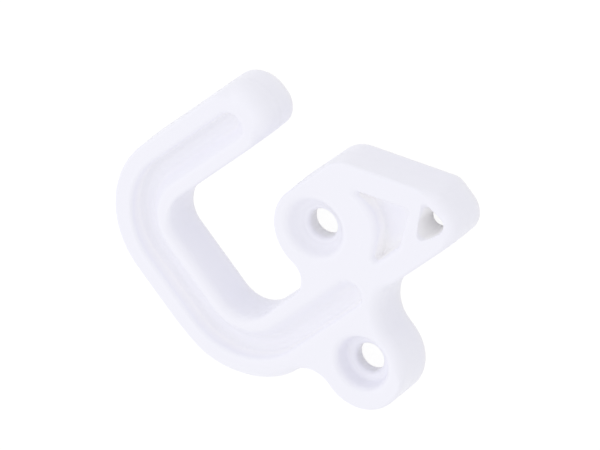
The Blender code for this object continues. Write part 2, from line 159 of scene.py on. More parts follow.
def corner_ways(corners, index):
    """The directions in which the outline arrives at a corner and leaves it."""
    x, y, _ = corners[index]
    before = corners[index - 1]
    after = corners[(index + 1) % len(corners)]
    return unit(x - before[0], y - before[1]), unit(after[0] - x, after[1] - y)


print("a level line and an upright one cross at", meeting_point((0, 2), (1, 0), (3, 0), (0, 1)))

# %% Corners into a rounded outline
ARC_STEP = math.radians(3.05)
FEWEST_STEPS = 2


def rounded_outline(corners):
    """Points (x, y, outward x, outward y) of a counterclockwise outline of rounded corners."""
    count = len(corners)
    ways = [corner_ways(corners, index) for index in range(count)]
    turns = [math.atan2(a[0] * b[1] - a[1] * b[0], a[0] * b[0] + a[1] * b[1]) for a, b in ways]
    wanted = [corner[2] * abs(math.tan(turn / 2)) for corner, turn in zip(corners, turns)]
    shares = [1.0] * count
    for index, (x, y, _) in enumerate(corners):
        after = (index + 1) % count
        side = math.hypot(corners[after][0] - x, corners[after][1] - y)
        needed = wanted[index] + wanted[after]
        if needed > side:
            shares[index] = min(shares[index], side / needed)
            shares[after] = min(shares[after], side / needed)
    outline = []
    for index, (x, y, radius) in enumerate(corners):
        arriving = ways[index][0]
        turn = turns[index]
        reach = wanted[index] * shares[index]
        radius = radius * shares[index]
        side = 1.0 if turn > 0 else -1.0
        start = (x - reach * arriving[0], y - reach * arriving[1])
        centre = (start[0] - side * radius * arriving[1], start[1] + side * radius * arriving[0])
        steps = max(FEWEST_STEPS, math.ceil(abs(turn) / ARC_STEP))
        first = math.atan2(start[1] - centre[1], start[0] - centre[0])
        for step in range(steps + 1):
            angle = first + turn * step / steps
            away = (math.cos(angle), math.sin(angle))
            outline.append((centre[0] + radius * away[0], centre[1] + radius * away[1],
                            side * away[0], side * away[1]))
    return outline


print("a right angle is rounded in", math.ceil(math.pi / 2 / ARC_STEP), "steps")

# %% Long straight runs
LONGEST_SIDE = 1.0 * MM


def with_long_sides_split(outline):
    """The same outline with points added along its straight runs."""
    result = []
    for index, point in enumerate(outline):
        after = outline[(index + 1) % len(outline)]
        length = math.hypot(after[0] - point[0], after[1] - point[1])
        pieces = max(1, math.ceil(length / LONGEST_SIDE))
        for piece in range(pieces):
            share = piece / pieces
            result.append(tuple(start + (end - start) * share for start, end in zip(point, after)))
    return result


print("no straight side is longer than", LONGEST_SIDE / MM, "mm")

# %% [markdown]
# ## The outline of the stopper
#
# Going round counterclockwise from the tip of the upper arm: along the top of the hook,
# down its back, round the lug that carries the lower screw, along the foot of the head,
# up its slanted edge, over the round boss and into the slot. The boss and the lug are
# whole arcs, so each is given as corners whose arcs meet.

# %% Corners of the whole outline
def stopper_corners():
    """The corners (x, y, radius) of the whole outline, from the upper arm's tip."""
    lean = math.atan(NECK_LEAN)
    neck_point = (-BOSS_RADIUS * math.cos(lean), -BOSS_RADIUS * math.sin(lean))
    neck_way = (math.sin(lean), -math.cos(lean))
    level = (1.0, 0.0)
    boss_top = meeting_point(neck_point, neck_way, (0.0, HEAD_TOP_Y), level)
    neck_foot = meeting_point(neck_point, neck_way, (0.0, SLOT_FLOOR_Y), level)
    return [
        (TIP_X, HOOK_TOP_Y, TIP_TOP_RADIUS),
        (HOOK_BACK_X, HOOK_TOP_Y, OUTER_BEND),
        (HOOK_BACK_X, HOOK_FOOT_Y, OUTER_BEND),
        (LUG_X - LUG_RADIUS, HOOK_FOOT_Y, LUG_HOOK_FILLET),
        (LUG_X - LUG_RADIUS, LUG_FOOT_Y, LUG_RADIUS),
        (LUG_X + LUG_RADIUS, LUG_FOOT_Y, LUG_RADIUS),
        (LUG_X + LUG_RADIUS, HEAD_FOOT_Y, LUG_HEAD_FILLET),
        (HEAD_END_X, HEAD_FOOT_Y, HEAD_LOW_RADIUS),
        (HEAD_END_X, SLANT_LOW_Y, SLANT_LOW_RADIUS),
        (SLANT_TOP_X, HEAD_TOP_Y, SLANT_TOP_RADIUS),
        (boss_top[0], boss_top[1], BOSS_RADIUS),
        (neck_foot[0], neck_foot[1], NECK_RADIUS),
        (SLOT_BACK_X, SLOT_FLOOR_Y, INNER_BEND),
        (SLOT_BACK_X, ARM_UNDER_Y, INNER_BEND),
        (TIP_X, ARM_UNDER_Y, TIP_LOW_RADIUS),
    ]


outline = with_long_sides_split(rounded_outline(stopper_corners()))
middle_x = (min(point[0] for point in outline) + max(point[0] for point in outline)) / 2
middle_y = (min(point[1] for point in outline) + max(point[1] for point in outline)) / 2
print(f"{len(outline)} points round the stopper, middle at {middle_x / MM:.3f}, {middle_y / MM:.3f} mm")

# %% [markdown]
# ## Solids from stacked loops
#
# A moulding is easy to describe as a stack of outlines, one above the other: each loop
# has the same number of points, so neighbours join up with plain four-sided faces and
# only the first and the last loop need a cap. The plate and all its cutters come from
# this one helper.

# %% A closed solid through loops
def solid(name, loops):
    """A closed mesh object through loops of points, lowest loop first."""
    mesh = bpy.data.meshes.new(name)
    shape = bmesh.new()
    rings = [[shape.verts.new(point) for point in loop] for loop in loops]
    for below, above in zip(rings, rings[1:]):
        for index in range(len(below)):
            after = (index + 1) % len(below)
            shape.faces.new((below[index], below[after], above[after], above[index]))
    shape.faces.new(list(reversed(rings[0])))
    shape.faces.new(rings[-1])
    bmesh.ops.recalc_face_normals(shape, faces=shape.faces)
    shape.to_mesh(mesh)
    shape.free()
    thing = bpy.data.objects.new(name, mesh)
    bpy.context.scene.collection.objects.link(thing)
    return thing


def loop_at(outline_points, inset, height):
    """One loop: the outline moved inwards by inset, at a height."""
    return [(x - inset * away_x, y - inset * away_y, height) for x, y, away_x, away_y in outline_points]


print("a loop of the plate has", len(loop_at(outline, 0.0, 0.0)), "points")

# %% [markdown]
# ## The plate and its rims
#
# Where the faces turn into the side walls the tool has a radius. It is slight along most
# of the rim, where the photograph shows a thin bright line, and fuller at five places of
# the front face, where the turn is soft and wide: the tip of the hook, the slot's back,
# beside the lug, the end of the head, and the bend above the lug. Each of those places is
# a straight line on the plan, and the rounding of a point is worked out from its distance
# to them, with a smooth blend between. On the back face it is slight all the way.
#
# Four of the places keep their full rounding for half of their reach. The bend is seen
# edge on, where a sudden change would show as a kink in the outline, so its rounding
# fades from the line itself on, over a longer way.
#
# The two halves of the mould meet at half thickness, and the front half stands back by a
# few hundredths of a millimetre. That is enough for a fine line on a close look.

# %% Sizes of the rim
RIM_ROUNDING = 0.6 * MM
TIP_ROUNDING = 3.2 * MM
TIP_ROUNDING_REACH = 8.0 * MM
SLOT_ROUNDING = 1.7 * MM
SLOT_ROUNDING_REACH = 9.0 * MM
LUG_ROUNDING = 2.0 * MM
LUG_ROUNDING_REACH = 9.0 * MM
HEAD_ROUNDING = 2.0 * MM
HEAD_ROUNDING_REACH = 7.0 * MM
BEND_ROUNDING = 3.1 * MM
BEND_ROUNDING_REACH = 17.0 * MM
BEND_ROUNDING_START = math.radians(228.0)
BEND_ROUNDING_END = math.radians(234.0)
STEADY_SHARE = 0.5
FADING_SHARE = 0.0

print("fullest rounding of the rim", max(TIP_ROUNDING, HEAD_ROUNDING, BEND_ROUNDING) / MM, "mm")

# %% The rounding at a point
def distance_to_line(x, y, start, end):
    """How far a point is from the straight line between two points."""
    along_x = end[0] - start[0]
    along_y = end[1] - start[1]
    share = ((x - start[0]) * along_x + (y - start[1]) * along_y) / (along_x ** 2 + along_y ** 2)
    share = max(0.0, min(1.0, share))
    return math.hypot(x - start[0] - share * along_x, y - start[1] - share * along_y)


def tangent_at(centre, radius, angle):
    """The point of a circle at an angle about its centre, and the way that its tangent runs."""
    point = (centre[0] + radius * math.cos(angle), centre[1] + radius * math.sin(angle))
    return point, (-math.sin(angle), math.cos(angle))


def smooth_share(share):
    """A share between 0 and 1, eased at both ends."""
    share = max(0.0, min(1.0, share))
    return share * share * (3.0 - 2.0 * share)


def fuller_places():
    """The lines near which the rim is fuller, as (start, end, rounding, reach, share kept full)."""
    lug_right_x = LUG_X + LUG_RADIUS
    bend = (HOOK_BACK_X + OUTER_BEND, HOOK_FOOT_Y + OUTER_BEND)
    bend_start, _ = tangent_at(bend, OUTER_BEND, BEND_ROUNDING_START)
    bend_end, _ = tangent_at(bend, OUTER_BEND, BEND_ROUNDING_END)
    return (
        ((TIP_X, ARM_UNDER_Y), (TIP_X, HOOK_TOP_Y), TIP_ROUNDING, TIP_ROUNDING_REACH, STEADY_SHARE),
        ((SLOT_BACK_X, SLOT_FLOOR_Y + INNER_BEND), (SLOT_BACK_X, ARM_UNDER_Y - SLOT_ROUNDING_REACH),
         SLOT_ROUNDING, SLOT_ROUNDING_REACH, STEADY_SHARE),
        ((lug_right_x, LUG_Y), (lug_right_x, HEAD_FOOT_Y),
         LUG_ROUNDING, LUG_ROUNDING_REACH, STEADY_SHARE),
        ((HEAD_END_X, HEAD_FOOT_Y), (HEAD_END_X, SLANT_LOW_Y - SLANT_LOW_RADIUS),
         HEAD_ROUNDING, HEAD_ROUNDING_REACH, STEADY_SHARE),
        (bend_start, bend_end, BEND_ROUNDING, BEND_ROUNDING_REACH, FADING_SHARE),
    )


def rounding_at(x, y):
    """The rounding of the front rim at a point."""
    rounding = RIM_ROUNDING
    for start, end, full, reach, full_share in fuller_places():
        far = distance_to_line(x, y, start, end) / reach
        share = smooth_share((1.0 - far) / (1.0 - full_share))
        rounding = max(rounding, RIM_ROUNDING + (full - RIM_ROUNDING) * share)
    return rounding


front_roundings = [rounding_at(x, y) for x, y, _, _ in outline]
back_roundings = [RIM_ROUNDING] * len(outline)
print(f"rim rounding {min(front_roundings) / MM:.2f} to {max(front_roundings) / MM:.2f} mm")

# %% The plate
PARTING_STEP = 0.03 * MM
PARTING_HEIGHT = 0.05 * MM
RIM_STEPS = 10


def rim_loops(roundings, step_in):
    """The loops of one half of the plate, from the parting plane up to its face."""
    half = THICKNESS / 2
    loops = [loop_at(outline, step_in, PARTING_HEIGHT / 2)]
    for step in range(RIM_STEPS + 1):
        angle = math.pi / 2 * step / RIM_STEPS
        loop = []
        for (x, y, away_x, away_y), rounding in zip(outline, roundings):
            inset = step_in + rounding * (1.0 - math.cos(angle))
            height = half - rounding * (1.0 - math.sin(angle))
            loop.append((x - inset * away_x, y - inset * away_y, height))
        loops.append(loop)
    return loops


def make_plate():
    """The plain plate, before it is cored."""
    half = THICKNESS / 2
    upper = rim_loops(front_roundings, PARTING_STEP)
    lower = rim_loops(back_roundings, 0.0)
    front = [[(x, y, half + height) for x, y, height in loop] for loop in upper]
    back = [[(x, y, half - height) for x, y, height in loop] for loop in reversed(lower)]
    return solid("stopper_moulding", back + front)


plate = make_plate()
print("plate:", len(plate.data.polygons), "faces")

# %% [markdown]
# ## The section of a recess
#
# All the hollows are cut by the same kind of tool, so they share one kind of section: the
# wall rolls over from the face on a radius, falls with a draft so that the part leaves the
# mould, and runs out into the floor on a second radius. The section is a list of (inset,
# depth) pairs at fixed depths, closest together where the wall curves. A cutter is the
# outline of the mouth, moved in by the inset and repeated at each depth. Because the
# depths are fixed, two sides of one recess can have different sections.

# %% The section of a wall
RECESS_DEPTH = 3.1 * MM
CUTTER_RISE = 0.06 * MM
WALL_STEPS = 20


def raised(profile):
    """The profile with its first stretch carried on in a straight line to above the face."""
    slope = (profile[1][1] - profile[0][1]) / (profile[1][0] - profile[0][0])
    return [(profile[0][0] - CUTTER_RISE / slope, -CUTTER_RISE)] + profile[1:]


def recess_profile(edge, draft, foot):
    """The section of a recess's wall as (inset, depth) points, from its mouth to its floor."""
    most = RECESS_DEPTH / (1.0 - math.sin(draft))
    if edge + foot > most:
        scale = most / (edge + foot)
        edge = edge * scale
        foot = foot * scale
    edge_depth = edge * (1.0 - math.sin(draft))
    foot_depth = foot * (1.0 - math.sin(draft))
    straight = RECESS_DEPTH - edge_depth - foot_depth
    floor_inset = (edge + foot) * math.cos(draft) + straight * math.tan(draft)
    profile = []
    for step in range(WALL_STEPS + 1):
        depth = RECESS_DEPTH * (1.0 - math.cos(math.pi * step / WALL_STEPS)) / 2
        left = RECESS_DEPTH - depth
        if depth < edge_depth:
            inset = math.sqrt(edge ** 2 - (edge - depth) ** 2)
        elif left < foot_depth:
            inset = floor_inset - math.sqrt(foot ** 2 - (foot - left) ** 2)
        else:
            inset = edge * math.cos(draft) + (depth - edge_depth) * math.tan(draft)
        profile.append((inset, depth))
    return raised(profile)


print("a recess's wall is drawn in", WALL_STEPS + 1, "levels")

# %% Outlines further in, and the other face
SMALLEST_CORNER = 0.25 * MM


def inset_corners(corners, inset):
    """The corners of the outline that runs inside another, with their radii fitted."""
    result = []
    for index, (x, y, radius) in enumerate(corners):
        arriving, leaving = corner_ways(corners, index)
        first = (x - inset * arriving[1], y + inset * arriving[0])
        second = (x - inset * leaving[1], y + inset * leaving[0])
        inner = meeting_point(first, arriving, second, leaving)
        turns_left = arriving[0] * leaving[1] > arriving[1] * leaving[0]
        fitted = radius - inset if turns_left else radius + inset
        result.append((inner[0], inner[1], max(fitted, SMALLEST_CORNER)))
    return result


def turned_over(loops):
    """The loops of a recess in the back face, taken to the front face."""
    return [[(x, y, THICKNESS - z) for x, y, z in loop] for loop in reversed(loops)]


print("the smallest corner in a recess is", SMALLEST_CORNER / MM, "mm")

# %% [markdown]
# ## The channel in the hook
#
# The hook is cored by a channel that keeps its wall even, so that the plastic cools
# without sinking. On the hook's outer side its wall is steep, and reads as a dark band in
# the photograph. On the slot's side it rises so gently that no edge shows, and the two
# blunt ends do the same. So at every level the channel's outline is drawn with one inset
# for its outer side and another for its inner side.

# %% Sizes of the channel
CHANNEL_OUTER_LAND = 2.8 * MM
CHANNEL_INNER_LAND = 1.9 * MM
CHANNEL_TIP_LAND = 5.45 * MM
CHANNEL_HEAD_END_X = 1.0 * MM
CHANNEL_END_RADIUS = 3.1 * MM
CHANNEL_OUTER_EDGE = 0.8 * MM
CHANNEL_OUTER_DRAFT = math.radians(10.0)
CHANNEL_OUTER_FOOT = 1.0 * MM
CHANNEL_INNER_EDGE = 1.2 * MM
CHANNEL_INNER_DRAFT = math.radians(40.0)
CHANNEL_INNER_FOOT = 1.6 * MM

print("channel", (ARM_WIDTH - CHANNEL_OUTER_LAND - CHANNEL_INNER_LAND) / MM, "mm wide at its mouth")

# %% Corners and cutters of the channel
def channel_corners(outer, inner):
    """The corners of the channel where its walls stand in from its mouth by outer and by inner."""
    outer_x = HOOK_BACK_X + CHANNEL_OUTER_LAND + outer
    upper_y = HOOK_TOP_Y - CHANNEL_OUTER_LAND - outer
    lower_y = HOOK_FOOT_Y + CHANNEL_OUTER_LAND + outer
    inner_x = SLOT_BACK_X - CHANNEL_INNER_LAND - inner
    arm_low_y = ARM_UNDER_Y + CHANNEL_INNER_LAND + inner
    slot_low_y = SLOT_FLOOR_Y - CHANNEL_INNER_LAND - inner
    outer_bend = OUTER_BEND - CHANNEL_OUTER_LAND - outer
    inner_bend = INNER_BEND + CHANNEL_INNER_LAND + inner
    tip_end_x = TIP_X - CHANNEL_TIP_LAND - inner
    head_end_x = CHANNEL_HEAD_END_X - inner
    end_radius = max(CHANNEL_END_RADIUS - (outer + inner) / 2, SMALLEST_CORNER)
    return [
        (tip_end_x, upper_y, end_radius),
        (outer_x, upper_y, outer_bend),
        (outer_x, lower_y, outer_bend),
        (head_end_x, lower_y, end_radius),
        (head_end_x, slot_low_y, end_radius),
        (inner_x, slot_low_y, inner_bend),
        (inner_x, arm_low_y, inner_bend),
        (tip_end_x, arm_low_y, end_radius),
    ]


def channel_cutters():
    """The cutters of the channel in both faces."""
    outer_wall = recess_profile(CHANNEL_OUTER_EDGE, CHANNEL_OUTER_DRAFT, CHANNEL_OUTER_FOOT)
    inner_wall = recess_profile(CHANNEL_INNER_EDGE, CHANNEL_INNER_DRAFT, CHANNEL_INNER_FOOT)
    back = []
    for (outer, depth), (inner, _) in zip(outer_wall, inner_wall):
        ring = rounded_outline(channel_corners(outer, inner))
        back.append([(x, y, depth) for x, y, _, _ in ring])
    return [solid("channel_front_cutter", turned_over(back)), solid("channel_back_cutter", back)]


cutters = channel_cutters()
print("channel cutters:", len(cutters))

# %% [markdown]
# ## The two screw holes
#
# The upper hole sits in a soft dish, whose wall runs out into the floor on a long radius.
# The lug's hole has a clearer counterbore with a flat ring for the screw head. Each is
# one cutter that goes right through: a round recess in both faces with the bore between.
#
# On the front the mouth of each recess lies a little off its bore, towards the head's end
# and the upper arm, and the levels below it slide back to the bore's centre. So the wall
# is gentle on one side and steep on the other, as the photograph's shading has it.
# The front edge of each bore has a radius of about a millimetre. It turns part of the
# bore's wall to the light, which keeps the hole from looking punched.

# %% Sizes of the screw holes
BOSS_LAND = 2.0 * MM
BOSS_EDGE = 1.8 * MM
BOSS_DRAFT = math.radians(34.0)
BOSS_FOOT = 4.0 * MM
BOSS_SHIFT = (0.4 * MM, 0.5 * MM)

LUG_LAND = 2.35 * MM
LUG_EDGE = 1.4 * MM
LUG_DRAFT = math.radians(14.0)
LUG_FOOT = 0.8 * MM
LUG_SHIFT = (0.75 * MM, 0.2 * MM)

boss_mouth = BOSS_RADIUS - BOSS_LAND
lug_mouth = LUG_RADIUS - LUG_LAND
print(f"dish {2 * boss_mouth / MM:.1f} mm across, counterbore {2 * lug_mouth / MM:.1f} mm")

# %% Circles and the edge of a bore
CIRCLE_SIDES = 144
BORE_EDGE_STEPS = 8
CLEAR_OF_EDGE = 0.1


def circle_outline(centre_x, centre_y, radius):
    """A circle as an outline."""
    ring = []
    for side in range(CIRCLE_SIDES):
        angle = math.tau * side / CIRCLE_SIDES
        across = math.cos(angle)
        along = math.sin(angle)
        ring.append((centre_x + radius * across, centre_y + radius * along, across, along))
    return ring


def with_bore_edge(profile, bore_inset, edge):
    """The profile as far as a bore's wall, with the edge between the two rounded off."""
    kept = [point for point in profile if point[0] < bore_inset]
    after = profile[len(kept)] if len(kept) < len(profile) else (bore_inset + MM, profile[-1][1])
    rise = (after[1] - kept[-1][1]) / (after[0] - kept[-1][0])
    slope = math.atan(rise)
    edge_depth = kept[-1][1] + rise * (bore_inset - kept[-1][0])
    centre_inset = bore_inset - edge
    centre_depth = edge_depth + edge * (1.0 - math.sin(slope)) / math.cos(slope)
    start_inset = centre_inset + edge * math.sin(slope)
    kept = [point for point in kept if point[0] < start_inset - CLEAR_OF_EDGE * edge]
    for step in range(BORE_EDGE_STEPS + 1):
        angle = slope + (math.pi / 2 - slope) * step / BORE_EDGE_STEPS
        kept.append((centre_inset + edge * math.sin(angle), centre_depth - edge * math.cos(angle)))
    return kept


print("a circle has", CIRCLE_SIDES, "sides, a bore's edge", BORE_EDGE_STEPS, "steps")

# %% Round recesses with a bore
BORE_FRONT_EDGE = 1.1 * MM
BORE_BACK_EDGE = 0.25 * MM


def bored_cutter(name, x, y, mouth_radius, bore_radius, profile, shift):
    """One cutter right through: a round recess in each face, the bore, and the front mouth's shift."""
    bore_inset = mouth_radius - bore_radius
    mouth = circle_outline(x, y, mouth_radius)
    back_wall = with_bore_edge(profile, bore_inset, BORE_BACK_EDGE)
    front_wall = with_bore_edge(profile, bore_inset, BORE_FRONT_EDGE)
    back = [loop_at(mouth, inset, depth) for inset, depth in back_wall]
    front = []
    for inset, depth in reversed(front_wall):
        off = 1.0 - inset / bore_inset
        moved = circle_outline(x + off * shift[0], y + off * shift[1], mouth_radius)
        front.append(loop_at(moved, inset, THICKNESS - depth))
    return solid(name + "_cutter", back + front)


dish = recess_profile(BOSS_EDGE, BOSS_DRAFT, BOSS_FOOT)
counterbore = recess_profile(LUG_EDGE, LUG_DRAFT, LUG_FOOT)
cutters.append(bored_cutter("boss", 0.0, 0.0, boss_mouth, BOSS_BORE / 2, dish, BOSS_SHIFT))
cutters.append(bored_cutter("lug", LUG_X, LUG_Y, lug_mouth, LUG_BORE / 2, counterbore, LUG_SHIFT))
print("screw holes:", BOSS_BORE / MM, "and", LUG_BORE / MM, "mm")

# %% [markdown]
# ## The small hole
#
# Near the end of the head a small hole goes through. From the front it is a funnel that
# reaches deep into the plate and is widest towards the boss, so its mouth is a rounded
# triangle. The funnel's wall starts flat with the face and gets steeper on its way down.
# So each loop of its cutter lies a share of the way from the mouth to the throat, and its
# depth is a power of that share. From the back the hole is a plain cone. Its round mouth
# lies towards the boss, which is why the camera can see daylight through the hole.

# %% Sizes of the small hole
SMALL_REACH = 11.9 * MM
SMALL_X = BOSS_RADIUS + SMALL_REACH
SMALL_Y = -10.6 * MM
SMALL_BORE = 3.6 * MM
FUNNEL_LEFT = (SMALL_X - 4.2 * MM, SMALL_Y - 1.3 * MM)
FUNNEL_FOOT = (SMALL_X + 4.5 * MM, SMALL_Y - 2.6 * MM)
FUNNEL_TOP = (SMALL_X + 3.3 * MM, SMALL_Y + 5.0 * MM)
FUNNEL_LEFT_RADIUS = 0.9 * MM
FUNNEL_FOOT_RADIUS = 2.0 * MM
FUNNEL_TOP_RADIUS = 0.9 * MM
FUNNEL_DEPTH = 5.7 * MM
FUNNEL_POWER = 2.0
FUNNEL_STEPS = 12
CONE_SHIFT = 1.1 * MM
CONE_RADIUS = 3.6 * MM

print("small hole:", SMALL_BORE / MM, "mm at its throat,", round(FUNNEL_DEPTH / MM, 3), "mm down")

# %% The funnel, the throat and the cone
def funnel_profile():
    """The section of the funnel as (share of the way from mouth to throat, depth)."""
    shares = [step / FUNNEL_STEPS for step in range(FUNNEL_STEPS + 1)]
    return raised([(share, FUNNEL_DEPTH * share ** FUNNEL_POWER) for share in shares])


def way_to_cone_mouth(way):
    """How far the cone's round mouth is from the small hole's middle, in one direction."""
    along = -CONE_SHIFT * way[0]
    return along + math.sqrt(along ** 2 - CONE_SHIFT ** 2 + CONE_RADIUS ** 2)


def small_hole_cutter():
    """The small hole: the cone in the back face, the throat where it meets the funnel, and the funnel."""
    mouth = with_long_sides_split(rounded_outline([
        (*FUNNEL_LEFT, FUNNEL_LEFT_RADIUS),
        (*FUNNEL_FOOT, FUNNEL_FOOT_RADIUS),
        (*FUNNEL_TOP, FUNNEL_TOP_RADIUS),
    ]))
    ways = [unit(x - SMALL_X, y - SMALL_Y) for x, y, _, _ in mouth]
    throat_reach = SMALL_BORE / 2
    throat = [(SMALL_X + throat_reach * way[0], SMALL_Y + throat_reach * way[1]) for way in ways]
    funnel = []
    for share, depth in funnel_profile():
        loop = []
        for start, end in zip(mouth, throat):
            across = start[0] + share * (end[0] - start[0])
            along = start[1] + share * (end[1] - start[1])
            loop.append((across, along, depth))
        funnel.append(loop)
    cone_depth = THICKNESS - FUNNEL_DEPTH
    cone_mouth = []
    for way in ways:
        reach = way_to_cone_mouth(way)
        reach += (reach - throat_reach) * CUTTER_RISE / cone_depth
        cone_mouth.append((SMALL_X + reach * way[0], SMALL_Y + reach * way[1], -CUTTER_RISE))
    return solid("small_hole_cutter", [cone_mouth] + turned_over(funnel))


cutters.append(small_hole_cutter())
print("the small hole's cutter has", len(cutters[-1].data.vertices), "points")

# %% [markdown]
# ## The pocket in the head
#
# The head is cored by a four-sided pocket. One side is an arc about the boss, one runs
# along the slanted edge, one along the foot, and the last passes the small hole's funnel
# aslant. The arc is written as the corner where the tangents at its two ends meet, which
# the outline helper rounds off again by the same radius. The pocket in the back face is
# shorter, to leave room for the cone.

# %% Sizes of the pocket
POCKET_BOSS_LAND = 4.2 * MM
POCKET_SLANT_LAND = 4.0 * MM
POCKET_FOOT_LAND = 3.8 * MM
POCKET_HOLE_GAP = 3.2 * MM
POCKET_BACK_HOLE_GAP = 5.2 * MM
POCKET_HOLE_LEAN = math.radians(33.5)
POCKET_CORNER = 1.6 * MM
POCKET_ARC_HIGH = math.radians(17.5)
POCKET_ARC_LOW = math.radians(-52.0)
POCKET_EDGE = 1.1 * MM
POCKET_DRAFT = math.radians(4.0)
POCKET_FOOT = 0.5 * MM

print("the pocket's arc spans", math.degrees(POCKET_ARC_HIGH - POCKET_ARC_LOW), "degrees")

# %% Corners and cutters of the pocket
def tangent_corner(centre, radius, start, end):
    """The corner that an arc rounds off, from the angle start to the angle end about its centre."""
    middle = (start + end) / 2
    reach = radius / math.cos((end - start) / 2)
    return centre[0] + reach * math.cos(middle), centre[1] + reach * math.sin(middle), radius


def pocket_corners(hole_gap):
    """The corners of a pocket's mouth, between an arc about the boss and lines along three other sides."""
    boss_arc = BOSS_RADIUS - BOSS_LAND + POCKET_BOSS_LAND
    boss = (0.0, 0.0)
    slant_way = unit(HEAD_END_X - SLANT_TOP_X, SLANT_LOW_Y - HEAD_TOP_Y)
    slant_point = (SLANT_TOP_X + slant_way[1] * POCKET_SLANT_LAND,
                   HEAD_TOP_Y - slant_way[0] * POCKET_SLANT_LAND)
    foot_point = (0.0, HEAD_FOOT_Y + POCKET_FOOT_LAND)
    level = (1.0, 0.0)
    hole_way = (math.cos(POCKET_HOLE_LEAN), math.sin(POCKET_HOLE_LEAN))
    hole_point = (SMALL_X - hole_gap * hole_way[1], SMALL_Y + hole_gap * hole_way[0])
    top = meeting_point(*tangent_at(boss, boss_arc, POCKET_ARC_HIGH), slant_point, slant_way)
    low_left = meeting_point(*tangent_at(boss, boss_arc, POCKET_ARC_LOW), foot_point, level)
    low_right = meeting_point(hole_point, hole_way, foot_point, level)
    right = meeting_point(hole_point, hole_way, slant_point, slant_way)
    return [
        (top[0], top[1], POCKET_CORNER),
        tangent_corner(boss, boss_arc, POCKET_ARC_LOW, POCKET_ARC_HIGH),
        (low_left[0], low_left[1], POCKET_CORNER),
        (low_right[0], low_right[1], POCKET_CORNER),
        (right[0], right[1], POCKET_CORNER),
    ]


def pocket_loops(hole_gap):
    """The loops of a pocket in the back face."""
    loops = []
    for inset, depth in recess_profile(POCKET_EDGE, POCKET_DRAFT, POCKET_FOOT):
        ring = rounded_outline(inset_corners(pocket_corners(hole_gap), inset))
        loops.append([(x, y, depth) for x, y, _, _ in ring])
    return loops


cutters.append(solid("pocket_front_cutter", turned_over(pocket_loops(POCKET_HOLE_GAP))))
cutters.append(solid("pocket_back_cutter", pocket_loops(POCKET_BACK_HOLE_GAP)))
print("cutters in all:", len(cutters))

# %% [markdown]
# ## Coring the plate
#
# The cutters are taken out of the plate with exact Booleans. The result is read from the
# dependency graph and stored as a plain mesh, the cutters go, and the mesh is moved so
# that it lies exactly where the construction model lies.
#
# The flat faces come out as very large polygons next to very small ones on the rims.
# Plain smooth shading would tilt the normals of the flat faces towards the rims and show
# as grey smears. The Weighted Normal modifier lets the larger face win at each shared
# corner, so flats stay flat and all the turning happens on the radii.

# %% Cut, tidy and place the moulding
SHARP_ANGLE = math.radians(40.0)
WEIGHT_OF_AREA = 60


def cored(thing, tools):
    """The plate with every cutter taken out of it, as a plain mesh."""
    for tool in tools:
        cut = thing.modifiers.new(tool.name, "BOOLEAN")
        cut.operation = "DIFFERENCE"
        cut.solver = "EXACT"
        cut.object = tool
    graph = bpy.context.evaluated_depsgraph_get()
    mesh = bpy.data.meshes.new_from_object(thing.evaluated_get(graph))
    thing.modifiers.clear()
    thing.data = mesh
    for tool in tools:
        bpy.data.objects.remove(tool, do_unlink=True)
    return thing


moulding = cored(plate, cutters)
moulding.data.transform(Matrix.Translation((-middle_x, -middle_y, low.z)))
moulding.data.materials.clear()
moulding.data.shade_smooth()
moulding.data.set_sharp_from_angle(angle=SHARP_ANGLE)
weigh = moulding.modifiers.new("flats_stay_flat", "WEIGHTED_NORMAL")
weigh.weight = WEIGHT_OF_AREA
weigh.keep_sharp = True
corners_in_all = sum(len(face.vertices) - 2 for face in moulding.data.polygons)
print("moulding:", len(moulding.data.vertices), "points,", corners_in_all, "triangles")

# %% [markdown]
# ## The plastic
#
# The real thing is a cool white engineering plastic. Three things make it look so. Its
# deep hollows stay pale, and here that is painted light: the colour is made paler where
# walls stand close, standing in for the light that reaches the bores. Its gloss is a soft
# one and not even: where the melt froze first it is duller.
# And its skin is never quite smooth, but has a very fine grain over slow, shallow waves.
#
# Subsurface scattering is the usual way to pass light on inside a material, and it is not
# used here. The colour is worked out with the Ambient Occlusion node instead, which says
# how open the space over a point is. Where walls stand close all round, inside the bores
# and the funnel, the white is painted paler: painted light in the hollows.
#
# The rest comes from noise in the piece's own coordinates, so nothing slides when the
# view changes. What is the same all over is set on the shader's sockets directly.

# %% Helpers for the plastic's nodes
def noise(nodes, links, place, scale, detail):
    """The value of a noise texture in the piece's own coordinates."""
    texture = nodes.new("ShaderNodeTexNoise")
    texture.inputs["Scale"].default_value = scale
    texture.inputs["Detail"].default_value = detail
    links.new(place.outputs["Object"], texture.inputs["Vector"])
    return texture.outputs["Fac"]


def new_range(nodes, links, value, old_ends, new_ends):
    """A value taken from one range to another."""
    change = nodes.new("ShaderNodeMapRange")
    change.inputs["From Min"].default_value = old_ends[0]
    change.inputs["From Max"].default_value = old_ends[1]
    change.inputs["To Min"].default_value = new_ends[0]
    change.inputs["To Max"].default_value = new_ends[1]
    links.new(value, change.inputs["Value"])
    return change.outputs["Result"]


def bump(nodes, links, height, strength, distance):
    """A bump node over a height."""
    node = nodes.new("ShaderNodeBump")
    node.inputs["Strength"].default_value = strength
    node.inputs["Distance"].default_value = distance
    links.new(height, node.inputs["Height"])
    return node


print("helpers:", [helper.__name__ for helper in (noise, new_range, bump)])

# %% The white, with painted light in the hollows
WHITE = (0.925, 0.922, 0.995)
WHITE_OTHER = (0.915, 0.912, 0.993)
TINT_SCALE = 55.0
TINT_DETAIL = 2.0
# Painted light: the paler white that deep hollows are mixed towards, and how the Ambient Occlusion node
# finds them.
HOLLOW_PAINTED_LIGHT = (0.995, 0.99, 1.0)
PAINTED_LIGHT_REACH = 6.0 * MM
PAINTED_LIGHT_SAMPLES = 8
PAINTED_LIGHT_OPENNESS = (0.62, 0.45)


